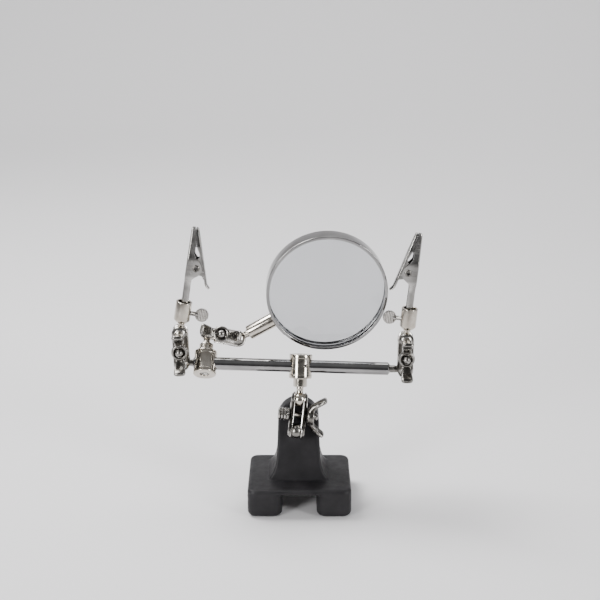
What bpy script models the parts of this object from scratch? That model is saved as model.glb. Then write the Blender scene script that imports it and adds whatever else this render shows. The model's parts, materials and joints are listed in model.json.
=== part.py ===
"""Helping hands clamp: a cast base, ball clamps, a crossbar, two crocodile clips and a magnifier.

Lengths here are millimetres, and MM turns them into Blender's metres. +Z is up and +Y points away
from the user. The origin is the middle of the underside of the whole object's box.
Every moving body hangs on an empty, whose origin lies on that body's joint axis.
"""
import math

import bmesh
import bpy
from mathutils import Matrix, Vector

MM = 0.001
GAP = 0.3                       # air between pieces that touch on the real object
X, Y, Z = Vector((1, 0, 0)), Vector((0, 1, 0)), Vector((0, 0, 1))

# ---- where the assembly stands -----------------------------------------------------------------
ORIGIN_SHIFT = Vector((2.38, 0.75, 0))        # brings the box's middle over the origin
BASE_BALL = Vector((-2.0, -12.0, 45.8))       # the ball that the pillar carries
POST_CLAMP_LEAN = (6.5, 24.0)                 # degrees to the right, degrees back
POST_STUD_BACK = 16.0                         # lean of the crossbar's holder
BAR_SLOPE = 1.85                              # the crossbar's right end hangs a little lower
SLEEVE_ALONG_BAR = -52.0
SLEEVE_BACK = 44.0
LENS_CLAMP_TURN = 26.0                        # the magnifier clamp's plates lean back by this
LENS_CLAMP_DROP = 11.0                        # and its far end hangs by this
LENS_STEM_RISE = 29.5
LENS_FORWARD = 7.5                            # the glass leans towards the user

# ---- balls, studs and clamps -------------------------------------------------------------------
BALL_RADIUS = 4.0
NECK_RADIUS = 1.5
NECK_END = 5.8
STUD_RADIUS = 2.0
STUD_BORE = STUD_RADIUS + GAP
BALL_SPACING = 17.2
BASE_STUD_LENGTH = 16.8
BAR_STUD_INSIDE = 8.0                         # how far a stud reaches into the bar's end
LENS_STUD_LENGTH = 14.5
PLATE_CUP = BALL_RADIUS + GAP                 # inner radius of a plate's cup
PLATE_OUTER = 5.1
PLATE_WAIST = (3.7, 4.9)                      # inner and outer radius between the cups
PLATE_RIM = 2.3                               # half the space between the two plates
PLATE_SEAT = 4.6                              # the flat that the nut or the washer bears on
SEAT_FROM_BALL = 4.4
CUP_HOLE = 2.4
MOUTH_ANGLE = 34.0                            # room for a neck that leaves out of the plates' plane
WIDE_MOUTH_ANGLE = 42.0
MOUTH_INWARD = 1.0                            # how far a mouth reaches towards the bolt
WIDE_MOUTH_INWARD = 4.5
BOLT_RADIUS = 1.9
BOLT_HOLE = BOLT_RADIUS + GAP
BOLT_TIP = 10.9
HEAD_RADIUS = 3.4
WASHER_THICKNESS = 1.1
WING_WIDTH = 5.4
POST_NUT_TURN = 28.0                          # the post nut stands with its upper wing forward
HEAD_LENGTH = 4.6

# ---- crossbar and its holders ------------------------------------------------------------------
BAR_RADIUS = 3.5
BAR_LEFT = -58.5
BAR_RIGHT = 48.5
BAR_BORE_DEPTH = 8.5
LEFT_BAR_BALL = -64.7
RIGHT_BAR_BALL = 57.0
BALL_TO_BAR = 18.2
HOLDER_RADIUS = 6.25
HOLDER_HALF = 6.55
HOLDER_STEP_RADIUS = 3.8
HOLDER_STEP_END = -11.15
HOLDER_STUD_FLOOR = -5.4
SET_SCREW_RADIUS = 2.3
SLOT_TURN = 20.0

# ---- base --------------------------------------------------------------------------------------
BASE_CENTRE = Vector((-0.3, -0.75, 0))
BASE_WIDTH = 56.8
BASE_DEPTH = 48.5
BASE_HEIGHT = 16.0
FOOT_GAP = 18.7
SIDE_GAP = 15.0
BASE_CORNER = 4.7                             # rounding of the upright corners, in plan
BASE_EDGE = 2.4
TUNNEL_HEIGHT = 13.2
SIDE_TUNNEL_HEIGHT = 8.0
PILLAR_X = -0.8
PILLAR_HALF = 11.3
PILLAR_BOTTOM = 13.9                          # inside the slab, above the tunnels
PILLAR_TOP = 58.8
PILLAR_FACE_FOOT = -11.6                      # Y of the front face where it meets the platform
PILLAR_FACE_LEAN = 15.4

# ---- sockets, thumb screws and clips -----------------------------------------------------------
SOCKET_RADIUS = 4.35
SOCKET_BOTTOM = 6.1
SOCKET_TOP = 17.9
SOCKET_BORE = 3.35
SOCKET_FLOOR = 9.2
THUMB_HEIGHT = 11.8
THUMB_SHANK = 1.25
THUMB_HEAD_RADIUS = 3.65
THUMB_HEAD_CENTRE = 10.3
THUMB_HEAD_THICKNESS = 2.4
LEFT_CLAMP_LEAN = -2.0
RIGHT_CLAMP_LEAN = 0.0
LEFT_SOCKET_LEAN = 9.5
RIGHT_SOCKET_LEAN = 5.5
SHEET = 0.6                                   # the clips' sheet
CLIP_BACK = -1.6                              # outer face of the fixed jaw's back
CLIP_TAIL = 9.8
CLIP_TIP = 59.3
RIVET = (3.8, 37.8)
RIVET_RADIUS = 1.1
RIVET_FLANGE = 1.9
JAW_HALF = 3.4                                # half the fixed jaw's width at the rivet
TOOTH_PITCH = 1.4
TEETH_START = 49.5
TEETH_END = 57.9

# ---- magnifier ---------------------------------------------------------------------------------
LENS_DISTANCE = 56.1                          # from the lens clamp's ball to the lens's middle
RING_RADIUS = 33.1
RING_HALF_WIDTH = 5.0
RING_SHEET = 0.8
RING_LIP = 31.4
LENS_RADIUS = 32.0
LENS_EDGE = 1.3
LENS_MIDDLE = 3.4
HANDLE_RADIUS = 4.0
HANDLE_BORE = 2.5
HANDLE_START = 7.2
HANDLE_END = 22.2
RING_PEG_RADIUS = 2.2
RING_PEG_START = 17.0

PARTS = "helping_hands_clamp"
MATERIALS = {
    "black_paint": ((0.012, 0.012, 0.013, 1), 0.45, 0.0),
    "nickel_steel": ((0.50, 0.48, 0.44, 1), 0.28, 1.0),
    "nickel_brass": ((0.66, 0.60, 0.48, 1), 0.25, 1.0),
    "chrome": ((0.75, 0.76, 0.78, 1), 0.12, 1.0),
    "glass": ((0.9, 0.95, 0.95, 1), 0.02, 0.0),
}


# ---- scene and frames --------------------------------------------------------------------------
def clear_scene():
    for item in list(bpy.data.objects):
        bpy.data.objects.remove(item, do_unlink=True)


def collection(name):
    made = bpy.data.collections.new(name)
    bpy.context.scene.collection.children.link(made)
    return made


def make_materials():
    for name, (colour, roughness, metallic) in MATERIALS.items():
        made = bpy.data.materials.new(name)
        made.use_nodes = True
        shader = made.node_tree.nodes["Principled BSDF"]
        shader.inputs["Base Color"].default_value = colour
        shader.inputs["Roughness"].default_value = roughness
        shader.inputs["Metallic"].default_value = metallic
        MATERIALS[name] = made


def leaning(right, back):
    """The unit vector that leans by these angles to the right and back from straight up."""
    return Vector((math.tan(math.radians(right)), math.tan(math.radians(back)), 1)).normalized()


def frame(origin, along, side):
    """A frame at origin with Z along one direction and X as near to side as it can be."""
    z_axis = along.normalized()
    x_axis = (side - z_axis * side.dot(z_axis)).normalized()
    y_axis = z_axis.cross(x_axis)
    turned_axes = Matrix((x_axis, y_axis, z_axis)).transposed().to_4x4()
    return Matrix.Translation((origin + ORIGIN_SHIFT) * MM) @ turned_axes


def turned_frame(base, origin, along, side):
    """A frame given in another frame's own directions."""
    local = frame(origin - ORIGIN_SHIFT, along, side)
    return base @ local


def pivot(name, placed, parent):
    """The empty that a moving body hangs on."""
    empty = bpy.data.objects.new(name, None)
    bpy.data.collections[PARTS].objects.link(empty)
    empty["placed"] = [value for row in placed for value in row]
    empty.empty_display_size = 3 * MM
    attach(empty, placed, parent)
    return empty


def attach(item, placed, parent):
    """Put an object where placed says, as a child of an empty."""
    item.matrix_basis = placed
    if parent:
        item.parent = parent
        values = list(parent["placed"])
        rows = [values[start:start + 4] for start in range(0, 16, 4)]
        item.matrix_parent_inverse = Matrix(rows).inverted()


# ---- shapes ------------------------------------------------------------------------------------
def construction(mesh):
    """A working object, from which a piece's final mesh is taken."""
    shape = bpy.data.objects.new("construction", mesh)
    bpy.data.collections["cutters"].objects.link(shape)
    shape.hide_render = True
    shape.display_type = "WIRE"
    return shape


def turned(profile, steps=24, ring=False):
    """Turn (radius, height) points about Z. They run down the outer side, top to bottom."""
    points = [(radius * MM, 0, height * MM) for radius, height in profile]
    edges = [(index, index + 1) for index in range(len(points) - 1)]
    if ring:
        edges.append((len(points) - 1, 0))
    mesh = bpy.data.meshes.new("profile")
    mesh.from_pydata(points, edges, [])
    shape = construction(mesh)
    screw = shape.modifiers.new("Screw", "SCREW")
    screw.steps = steps
    screw.render_steps = steps
    screw.use_merge_vertices = True
    screw.merge_threshold = 1e-6
    return shape


def arc(radius, first, last, count, centre=0.0):
    """Profile points on a circle about (0, centre), from one elevation to another in degrees."""
    points = []
    for index in range(count + 1):
        angle = math.radians(first + (last - first) * index / count)
        points.append((radius * math.cos(angle), centre + radius * math.sin(angle)))
    return points


def primitive(transform, radius_top=None, radius=1.0, depth=None, steps=24):
    """A cube of side 1, or a cylinder or cone about Z, put in place by a matrix in millimetres."""
    working = bmesh.new()
    if depth is None:
        bmesh.ops.create_cube(working, size=1.0)
    else:
        top = radius if radius_top is None else radius_top
        bmesh.ops.create_cone(working, cap_ends=True, segments=steps, radius1=radius,
                              radius2=top, depth=depth)
    bmesh.ops.transform(working, matrix=Matrix.Scale(MM, 4) @ transform, verts=working.verts)
    mesh = bpy.data.meshes.new("primitive")
    working.to_mesh(mesh)
    working.free()
    return construction(mesh)


def block(low, high):
    low, high = Vector(low), Vector(high)
    size = Matrix.Diagonal((*(high - low), 1))
    return primitive(Matrix.Translation((low + high) / 2) @ size)


def rod(start, end, radius, steps=24, radius_end=None):
    """A cylinder from one point to another, or a cone if its end radius differs."""
    start, end = Vector(start), Vector(end)
    along = end - start
    turn = along.to_track_quat("Z", "Y").to_matrix().to_4x4()
    place = Matrix.Translation((start + end) / 2) @ turn
    return primitive(place, radius_end, radius, along.length, steps)


def welded(shape):
    """A construction curve as a mesh whose caps are joined to its sides."""
    graph = bpy.context.evaluated_depsgraph_get()
    mesh = bpy.data.meshes.new_from_object(shape.evaluated_get(graph))
    working = bmesh.new()
    working.from_mesh(mesh)
    bmesh.ops.remove_doubles(working, verts=working.verts, dist=1e-7)
    bmesh.ops.recalc_face_normals(working, faces=working.faces)
    working.to_mesh(mesh)
    working.free()
    bpy.data.objects.remove(shape)
    return construction(mesh)


def flat_solid(outline, thickness):
    """A flat outline in XY, as thick as asked about its own plane."""
    curve = bpy.data.curves.new("outline", "CURVE")
    curve.dimensions = "2D"
    curve.fill_mode = "BOTH"
    curve.extrude = thickness * MM / 2
    spline = curve.splines.new("POLY")
    spline.points.add(len(outline) - 1)
    for point, (across, along) in zip(spline.points, outline):
        point.co = (across * MM, along * MM, 0, 1)
    spline.use_cyclic_u = True
    return welded(construction(curve))


def apply_modifiers(shape):
    graph = bpy.context.evaluated_depsgraph_get()
    shape.data = bpy.data.meshes.new_from_object(shape.evaluated_get(graph))
    shape.modifiers.clear()


def turn_mesh(shape, matrix):
    """Move a shape's own mesh by a matrix in millimetres."""
    shape.data.transform(Matrix.Scale(MM, 4) @ matrix @ Matrix.Scale(1 / MM, 4))


def combine(shape, operation, *tools):
    """Cut, join or intersect a shape with others."""
    for tool in tools:
        step = shape.modifiers.new(operation.title(), "BOOLEAN")
        step.operation = operation
        step.object = tool
    graph = bpy.context.evaluated_depsgraph_get()
    made = construction(bpy.data.meshes.new_from_object(shape.evaluated_get(graph)))
    for used in (shape, *tools):
        bpy.data.objects.remove(used)
    return made


def piece(name, shape, placed, material, parent):
    """Make the named piece from a construction shape, which is used up."""
    graph = bpy.context.evaluated_depsgraph_get()
    mesh = bpy.data.meshes.new_from_object(shape.evaluated_get(graph))
    bpy.data.objects.remove(shape)
    mesh.name = name
    mesh.shade_smooth()
    mesh.set_sharp_from_angle(angle=math.radians(35))
    mesh.materials.clear()
    mesh.materials.append(MATERIALS[material])
    made = bpy.data.objects.new(name, mesh)
    bpy.data.collections[PARTS].objects.link(made)
    attach(made, placed, parent)
    return made


# ---- base --------------------------------------------------------------------------------------
def pillar_outline():
    """Front view: a round-topped slab that flares where it meets the platform."""
    right = [(16.6, PILLAR_BOTTOM), (16.3, 16.2), (13.9, 19.5), (12.5, 24.0), (11.8, 30.0)]
    round_top = arc(PILLAR_HALF, 0, 90, 7, PILLAR_TOP - PILLAR_HALF)
    half = right + round_top
    return half + [(-across, height) for across, height in reversed(half[:-1])]


def rounded_rectangle(half_width, half_depth, corner):
    """The outline, counter-clockwise from the right side."""
    outline = []
    for first, across, deep in ((0, 1, 1), (90, -1, 1), (180, -1, -1), (270, 1, -1)):
        middle = (across * (half_width - corner), deep * (half_depth - corner))
        outline += [(middle[0] + offset_x, middle[1] + offset_y)
                    for offset_x, offset_y in arc(corner, first, first + 90, 5)]
    return outline


def make_base():
    slab = flat_solid(rounded_rectangle(BASE_WIDTH / 2, BASE_DEPTH / 2, BASE_CORNER), BASE_HEIGHT)
    turn_mesh(slab, Matrix.Translation(BASE_CENTRE + Z * BASE_HEIGHT / 2))
    edges = slab.modifiers.new("Bevel", "BEVEL")
    edges.width = BASE_EDGE * MM
    edges.segments = 3
    centre_x, centre_y = BASE_CENTRE.x, BASE_CENTRE.y
    half_foot, half_side = FOOT_GAP / 2, SIDE_GAP / 2
    front_tunnel = block((centre_x - half_foot, -60, -5), (centre_x + half_foot, 60, TUNNEL_HEIGHT))
    side_tunnel = block((-60, centre_y - half_side, -5), (60, centre_y + half_side, SIDE_TUNNEL_HEIGHT))
    slab = combine(slab, "DIFFERENCE", front_tunnel, side_tunnel)

    front_view = flat_solid(pillar_outline(), 80)
    turn_mesh(front_view, Matrix.Translation((PILLAR_X, 0, 0)) @ Matrix.Rotation(math.pi / 2, 4, "X"))
    lean = math.tan(math.radians(PILLAR_FACE_LEAN))
    top_front = PILLAR_FACE_FOOT + (PILLAR_TOP + 2 - BASE_HEIGHT) * lean
    low_front = PILLAR_FACE_FOOT - (BASE_HEIGHT - PILLAR_BOTTOM) * lean
    side_outline = [(low_front, PILLAR_BOTTOM), (15.9, PILLAR_BOTTOM), (13.2, 17.5), (10.8, 24.0),
                    (8.6, PILLAR_TOP + 2), (top_front, PILLAR_TOP + 2)]
    side_view = flat_solid(side_outline, 80)
    turn_mesh(side_view, Matrix(((0, 0, 1, 0), (1, 0, 0, 0), (0, 1, 0, 0), (0, 0, 0, 1))))
    pillar = combine(front_view, "INTERSECT", side_view)
    casting = combine(slab, "UNION", pillar)

    into = base_stud_direction()
    bore = rod(BASE_BALL + into * 4, BASE_BALL + into * (BASE_STUD_LENGTH + 0.7), STUD_BORE, 20)
    casting = combine(casting, "DIFFERENCE", bore)
    placed = Matrix.Translation(ORIGIN_SHIFT * MM)
    body = pivot("base", placed, None)
    piece("base_casting", casting, placed, "black_paint", body)
    return body


def base_stud_direction():
    lean = math.radians(PILLAR_FACE_LEAN)
    return Vector((0, math.cos(lean), -math.sin(lean)))


# ---- ball studs --------------------------------------------------------------------------------
def ball_stud(length):
    """A ball at the origin and its shank along +Z."""
    neck_angle = math.degrees(math.acos(NECK_RADIUS / BALL_RADIUS))
    profile = [(0, length), (STUD_RADIUS, length), (STUD_RADIUS, NECK_END), (NECK_RADIUS, NECK_END - 0.5)]
    profile += arc(BALL_RADIUS, neck_angle, -90, 6)
    profile[-1] = (0, -BALL_RADIUS)
    return turned(profile, 14)


# ---- clamps ------------------------------------------------------------------------------------
def capsule(end_radius, middle_radius, rings=4):
    """The outer or inner shape of a pair of plates, with its round ends on the two balls."""
    waist = math.degrees(math.acos(middle_radius / end_radius))
    profile = arc(end_radius, 90, -waist, rings, BALL_SPACING) + arc(end_radius, waist, -90, rings)
    profile[0] = (0, BALL_SPACING + end_radius)
    profile[-1] = (0, -end_radius)
    return turned(profile, 16)


def mouth(height, outward, angle):
    """A cutter that lets a ball's neck leave a cup at an angle to the plates.

    A wide mouth also reaches towards the bolt, for a neck that leaves square to the clamp.
    """
    reach = 12.0
    rise = reach * math.tan(math.radians(angle))
    cone = turned([(0.02, 0), (reach, -rise), (reach, -rise - 20), (reach + 1, -rise - 20),
                   (reach + 1, rise + 20), (reach, rise + 20), (reach, rise)], 12, ring=True)
    apply_modifiers(cone)
    turn_mesh(cone, Matrix.Translation((0, 0, height)) @ Matrix.Rotation(math.pi / 2, 4, "Y"))
    inward_reach = WIDE_MOUTH_INWARD if angle == WIDE_MOUTH_ANGLE else MOUTH_INWARD
    low, high = sorted((height - outward * inward_reach, height + outward * 20))
    half = block((-8, -20, low), (8, 20, high))
    return combine(cone, "INTERSECT", half)


def clamp_plate(near_angle):
    """The plate on the +X side of the balls: a dished strip with a cup round each ball."""
    waist_inner, waist_outer = PLATE_WAIST
    plate = capsule(PLATE_OUTER, waist_outer)
    inside = capsule(PLATE_CUP, waist_inner)
    open_side = block((-20, -20, -20), (PLATE_RIM, 20, 40))
    flat_side = block((PLATE_SEAT, -20, SEAT_FROM_BALL), (20, 20, BALL_SPACING - SEAT_FROM_BALL))
    tools = [inside, open_side, flat_side]
    for height, outward, angle in ((0, -1, near_angle), (BALL_SPACING, 1, MOUTH_ANGLE)):
        tools.append(rod((2, 0, height), (9, 0, height), CUP_HOLE, 12))
        tools.append(mouth(height, outward, angle))
    tools.append(rod((2, 0, BALL_SPACING / 2), (9, 0, BALL_SPACING / 2), BOLT_HOLE, 12))
    return combine(plate, "DIFFERENCE", *tools)


def clamp_bolt():
    """Cross bolt about Z: its grooved head is below the plates and its tip above the nut."""
    seat = -PLATE_SEAT - GAP - WASHER_THICKNESS - GAP
    groove = HEAD_LENGTH / 3
    profile = [(0, BOLT_TIP), (1.2, BOLT_TIP - 0.1), (BOLT_RADIUS, BOLT_TIP - 0.8), (BOLT_RADIUS, seat),
               (HEAD_RADIUS, seat)]
    for level in (seat - groove, seat - 2 * groove):
        profile += [(HEAD_RADIUS, level + 0.3), (HEAD_RADIUS - 0.3, level), (HEAD_RADIUS, level - 0.3)]
    profile += [(HEAD_RADIUS, seat - HEAD_LENGTH + 0.4), (HEAD_RADIUS - 0.4, seat - HEAD_LENGTH),
                (0, seat - HEAD_LENGTH)]
    return turned(profile, 12)


def lock_washer():
    top = -PLATE_SEAT - GAP
    bottom = top - WASHER_THICKNESS
    return turned([(HEAD_RADIUS, top), (HEAD_RADIUS, bottom), (BOLT_HOLE, bottom), (BOLT_HOLE, top)],
                  12, ring=True)


def wing_nut():
    """A dished hub about Z, with two wings that sweep outwards along X."""
    seat = PLATE_SEAT + GAP
    hub = turned([(0, 8.8), (2.9, 8.8), (3.5, 9.5), (4.3, 9.4), (4.6, 8.4), (4.3, seat + 1.0),
                  (3.7, seat), (0, seat)], 16)
    under = [(3.5, 6.3), (6.8, 8.0), (9.6, 11.0), (11.8, 14.7)]
    over = [(9.7, 15.5), (7.8, 12.9), (5.6, 10.3), (3.5, 9.0)]
    side = under + over
    for turn in (1, -1):
        outline = [(turn * across, height) for across, height in side]
        wing = flat_solid(outline, WING_WIDTH)
        turn_mesh(wing, Matrix.Rotation(math.pi / 2, 4, "X"))
        hub = combine(hub, "UNION", wing)
    bore = rod((0, 0, 0), (0, 0, 20), BOLT_HOLE, 12)
    return combine(hub, "DIFFERENCE", bore)


def make_clamp(prefix, sides, placed, parent, near_angle=MOUTH_ANGLE, nut_turn=0.0):
    """Plates, bolt, washer and nut. In placed, Z runs from ball to ball and X to the nut's side."""
    nut_side, head_side = sides
    body = pivot(prefix, placed, parent)
    half_turn = Matrix.Rotation(math.pi, 4, "Z")
    piece(f"{prefix}_plate_{nut_side}", clamp_plate(near_angle), placed, "nickel_steel", body)
    piece(f"{prefix}_plate_{head_side}", clamp_plate(near_angle), placed @ half_turn, "nickel_steel", body)
    middle = Matrix.Translation((0, 0, BALL_SPACING / 2 * MM))
    across = placed @ middle @ frame(-ORIGIN_SHIFT, X, Z)
    piece(f"{prefix}_bolt", clamp_bolt(), across, "nickel_steel", body)
    piece(f"{prefix}_washer", lock_washer(), across, "nickel_steel", body)
    nut_place = across @ Matrix.Rotation(math.radians(nut_turn), 4, "Z")
    nut_body = pivot(f"{prefix}_nut_turn", nut_place, body)
    piece(f"{prefix}_wing_nut", wing_nut(), nut_place, "nickel_steel", nut_body)
    return body


def far_ball(placed):
    """The layout point of a clamp's second ball."""
    return (placed @ Matrix.Translation((0, 0, BALL_SPACING * MM))).translation / MM - ORIGIN_SHIFT


# ---- crossbar holder and sleeve ----------------------------------------------------------------
def bar_holder():
    """A turned holder about Z: stud bore below, bar hole through the middle, set screw above."""
    edge = 0.6
    profile = [(0, 2.5), (SET_SCREW_RADIUS + GAP, 2.5), (SET_SCREW_RADIUS + GAP, HOLDER_HALF),
               (HOLDER_RADIUS - edge, HOLDER_HALF), (HOLDER_RADIUS, HOLDER_HALF - edge),
               (HOLDER_RADIUS, edge - HOLDER_HALF), (HOLDER_RADIUS - edge, -HOLDER_HALF),
               (HOLDER_STEP_RADIUS, -HOLDER_HALF), (HOLDER_STEP_RADIUS, HOLDER_STEP_END + 0.5),
               (HOLDER_STEP_RADIUS - 0.5, HOLDER_STEP_END), (STUD_BORE, HOLDER_STEP_END),
               (STUD_BORE, HOLDER_STUD_FLOOR), (0, HOLDER_STUD_FLOOR)]
    bar_hole = rod((-10, 0, 0), (10, 0, 0), BAR_RADIUS + GAP, 20)
    return combine(turned(profile, 20), "DIFFERENCE", bar_hole)


def set_screw():
    """A slotted grub screw about Z, in the holder's free end."""
    low = BAR_RADIUS + GAP
    high = HOLDER_HALF - 0.35
    screw = turned([(0, high), (SET_SCREW_RADIUS - 0.3, high), (SET_SCREW_RADIUS, high - 0.3),
                    (SET_SCREW_RADIUS, low), (0, low)], 20)
    slot = block((-4, -0.4, high - 1.0), (4, 0.4, high + 2))
    return combine(screw, "DIFFERENCE", slot)


def make_holder(names, ball, along, bar_way, parent, stud_parent):
    """A holder on the bar with its set screw and its ball stud.

    parent carries the holder, or is None where the stud carries it instead.
    """
    holder_name, screw_name, stud_name = names
    holder_place = frame(ball + along * BALL_TO_BAR, along, bar_way)
    stud_place = frame(ball, along, bar_way)
    if parent is None:
        stud_body = pivot(stud_name + "_swing", stud_place, stud_parent)
        body = pivot(holder_name + "_turn", holder_place, stud_body)
    else:
        body = pivot(holder_name + "_turn", holder_place, parent)
        stud_body = pivot(stud_name + "_turn", stud_place, body)
    stud_length = BALL_TO_BAR + HOLDER_STUD_FLOOR - 0.5
    piece(stud_name, ball_stud(stud_length), stud_place, "nickel_brass", stud_body)
    piece(holder_name, bar_holder(), holder_place, "nickel_brass", body)
    screw_place = holder_place @ Matrix.Rotation(math.radians(SLOT_TURN), 4, "Z")
    screw_body = pivot(screw_name + "_turn", screw_place, body)
    piece(screw_name, set_screw(), screw_place, "nickel_steel", screw_body)
    return body, stud_body


def crossbar():
    """The bar about Z, with a stud bore in each end."""
    edge = 0.6
    depth = BAR_BORE_DEPTH
    return turned([(0, BAR_RIGHT - depth), (STUD_BORE, BAR_RIGHT - depth), (STUD_BORE, BAR_RIGHT),
                   (BAR_RADIUS - edge, BAR_RIGHT), (BAR_RADIUS, BAR_RIGHT - edge),
                   (BAR_RADIUS, BAR_LEFT + edge), (BAR_RADIUS - edge, BAR_LEFT),
                   (STUD_BORE, BAR_LEFT), (STUD_BORE, BAR_LEFT + depth), (0, BAR_LEFT + depth)], 24)


# ---- arms --------------------------------------------------------------------------------------
def clip_socket():
    """The socket about Z from its ball: stud bore below, clip bore above, screw hole towards +X."""
    profile = [(SOCKET_BORE, SOCKET_TOP), (SOCKET_RADIUS - 0.3, SOCKET_TOP),
               (SOCKET_RADIUS, SOCKET_TOP - 0.3), (SOCKET_RADIUS, SOCKET_BOTTOM + 1.4),
               (SOCKET_RADIUS - 1.3, SOCKET_BOTTOM), (STUD_BORE, SOCKET_BOTTOM),
               (STUD_BORE, SOCKET_FLOOR), (SOCKET_BORE, SOCKET_FLOOR)]
    screw_hole = rod((1, 0, THUMB_HEIGHT), (8, 0, THUMB_HEIGHT), THUMB_SHANK + GAP, 12)
    return combine(turned(profile, 20, ring=True), "DIFFERENCE", screw_hole)


def thumb_screw():
    """A screw about Z with a round flat head on edge, from the socket's middle outwards."""
    shank = rod((0, 0, 2.6), (0, 0, THUMB_HEAD_CENTRE), THUMB_SHANK, 16)
    half = THUMB_HEAD_THICKNESS / 2
    head = rod((0, -half, THUMB_HEAD_CENTRE), (0, half, THUMB_HEAD_CENTRE), THUMB_HEAD_RADIUS, 24)
    return combine(head, "UNION", shank)


def channel(sections):
    """A loft along Z of folded-sheet sections: (height, back, lip, half_width).

    The back is a flat strip across Y at X = back, and two walls run from it to X = lip.
    No turned, extruded or subdivided shape gives this taper with its teeth.
    """
    working = bmesh.new()
    rings = []
    for height, back, lip, half in sections:
        inward = SHEET if lip > back else -SHEET
        inner = half - SHEET
        outline = [(back, -half), (back, half), (lip, half), (lip, inner), (back + inward, inner),
                   (back + inward, -inner), (lip, -inner), (lip, -half)]
        rings.append([working.verts.new((across * MM, depth * MM, height * MM))
                      for across, depth in outline])
    count = len(rings[0])
    for lower, upper in zip(rings, rings[1:]):
        for index in range(count):
            after = (index + 1) % count
            working.faces.new((lower[index], lower[after], upper[after], upper[index]))
    working.faces.new(rings[0])
    working.faces.new(rings[-1])
    bmesh.ops.recalc_face_normals(working, faces=working.faces)
    mesh = bpy.data.meshes.new("channel")
    working.to_mesh(mesh)
    working.free()
    return construction(mesh)


def bite_line(height):
    """X of the line where the two jaws meet."""
    return 0.8 + (57.7 - height) * 0.175


def moving_back(height):
    """X of the moving jaw's outer face, which slants from the tip to the handle."""
    return 2.6 + (58.0 - height) * 0.28


def teeth(offset):
    """(height, lip) points of a row of teeth that stays this far from the bite line."""
    rows = []
    steps = round((TEETH_END - TEETH_START) / TOOTH_PITCH * 2)
    for index in range(steps + 1):
        height = TEETH_START + index * TOOTH_PITCH / 2
        wave = 0.35 if index % 2 else -0.35
        rows.append((height, bite_line(height) + wave + offset))
    return rows


def jaw_half_width(height):
    """Both jaws narrow from the window to the tip."""
    return 2.5 - (height - TEETH_START) * 0.11


def fixed_jaw():
    sides = [(CLIP_TAIL, 2.2, 1.9), (28.5, 2.2, 1.9), (31.6, 2.6, 3.2), (33.2, 4.6, JAW_HALF),
             (35.0, 6.2, JAW_HALF), (37.8, 6.9, JAW_HALF), (40.4, 6.0, JAW_HALF), (42.4, 4.2, JAW_HALF),
             (44.2, 2.2, 3.2), (46.5, 1.9, 2.8)]
    sides += [(height, lip, jaw_half_width(height)) for height, lip in teeth(-0.2)]
    sections = [(height, CLIP_BACK, lip, half) for height, lip, half in sides]
    sections.append((CLIP_TIP, CLIP_BACK + 0.5, 0.4, 1.4))
    return combine(channel(sections), "DIFFERENCE", rivet_hole())


def moving_jaw():
    sections = [(27.3, 1.2, 2.2), (33.6, 1.2, 2.4)]
    rows = [(height, moving_back(height), moving_back(height) - depth, half)
            for height, depth, half in sections]
    ear = [(34.4, 4.4), (35.6, 1.7), (37.8, 0.2), (40.2, 0.8), (42.2, 2.6), (43.6, 4.6), (46.0, 4.2),
           (48.4, 3.2)]
    rows += [(height, moving_back(height), lip, 2.5) for height, lip in ear]
    rows += [(height, moving_back(height), lip, jaw_half_width(height)) for height, lip in teeth(0.2)]
    rows.append((CLIP_TIP, moving_back(CLIP_TIP) - 0.2, 0.8, 1.4))
    return combine(channel(rows), "DIFFERENCE", rivet_hole())


def rivet_hole():
    across, height = RIVET
    return rod((across, -6, height), (across, 6, height), RIVET_RADIUS + GAP, 14)


def hollow_rivet():
    """An eyelet about Z with a flange outside each wall of the fixed jaw."""
    wall = JAW_HALF + GAP
    flange = RIVET_FLANGE
    end = wall + 0.5
    bore = 0.6
    return turned([(flange, end), (flange, wall), (RIVET_RADIUS, wall), (RIVET_RADIUS, -wall),
                   (flange, -wall), (flange, -end), (bore, -end), (bore, end)], 14, ring=True)


def clip_spring():
    """A torsion spring round the rivet: one leg bears on each jaw's back."""
    across, height = RIVET
    radius = 1.95
    turns = 2.5
    count = 22
    half_width = 0.9
    path = [(moving_back(32.0) - 1.4, -half_width, 32.0),
            (across + radius + 0.9, -half_width, height - 2.4)]
    for index in range(count + 1):
        angle = 2 * math.pi * turns * index / count
        depth = -half_width + 2 * half_width * index / count
        path.append((across + radius * math.cos(angle), depth, height + radius * math.sin(angle)))
    path += [(across - radius - 0.9, half_width, height + 2.4), (CLIP_BACK + 1.3, half_width, height + 6.0)]
    curve = bpy.data.curves.new("wire", "CURVE")
    curve.dimensions = "3D"
    curve.bevel_depth = 0.28 * MM
    curve.bevel_resolution = 1
    curve.use_fill_caps = True
    spline = curve.splines.new("POLY")
    spline.points.add(len(path) - 1)
    for point, place in zip(spline.points, path):
        point.co = (place[0] * MM, place[1] * MM, place[2] * MM, 1)
    return welded(construction(curve))


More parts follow.
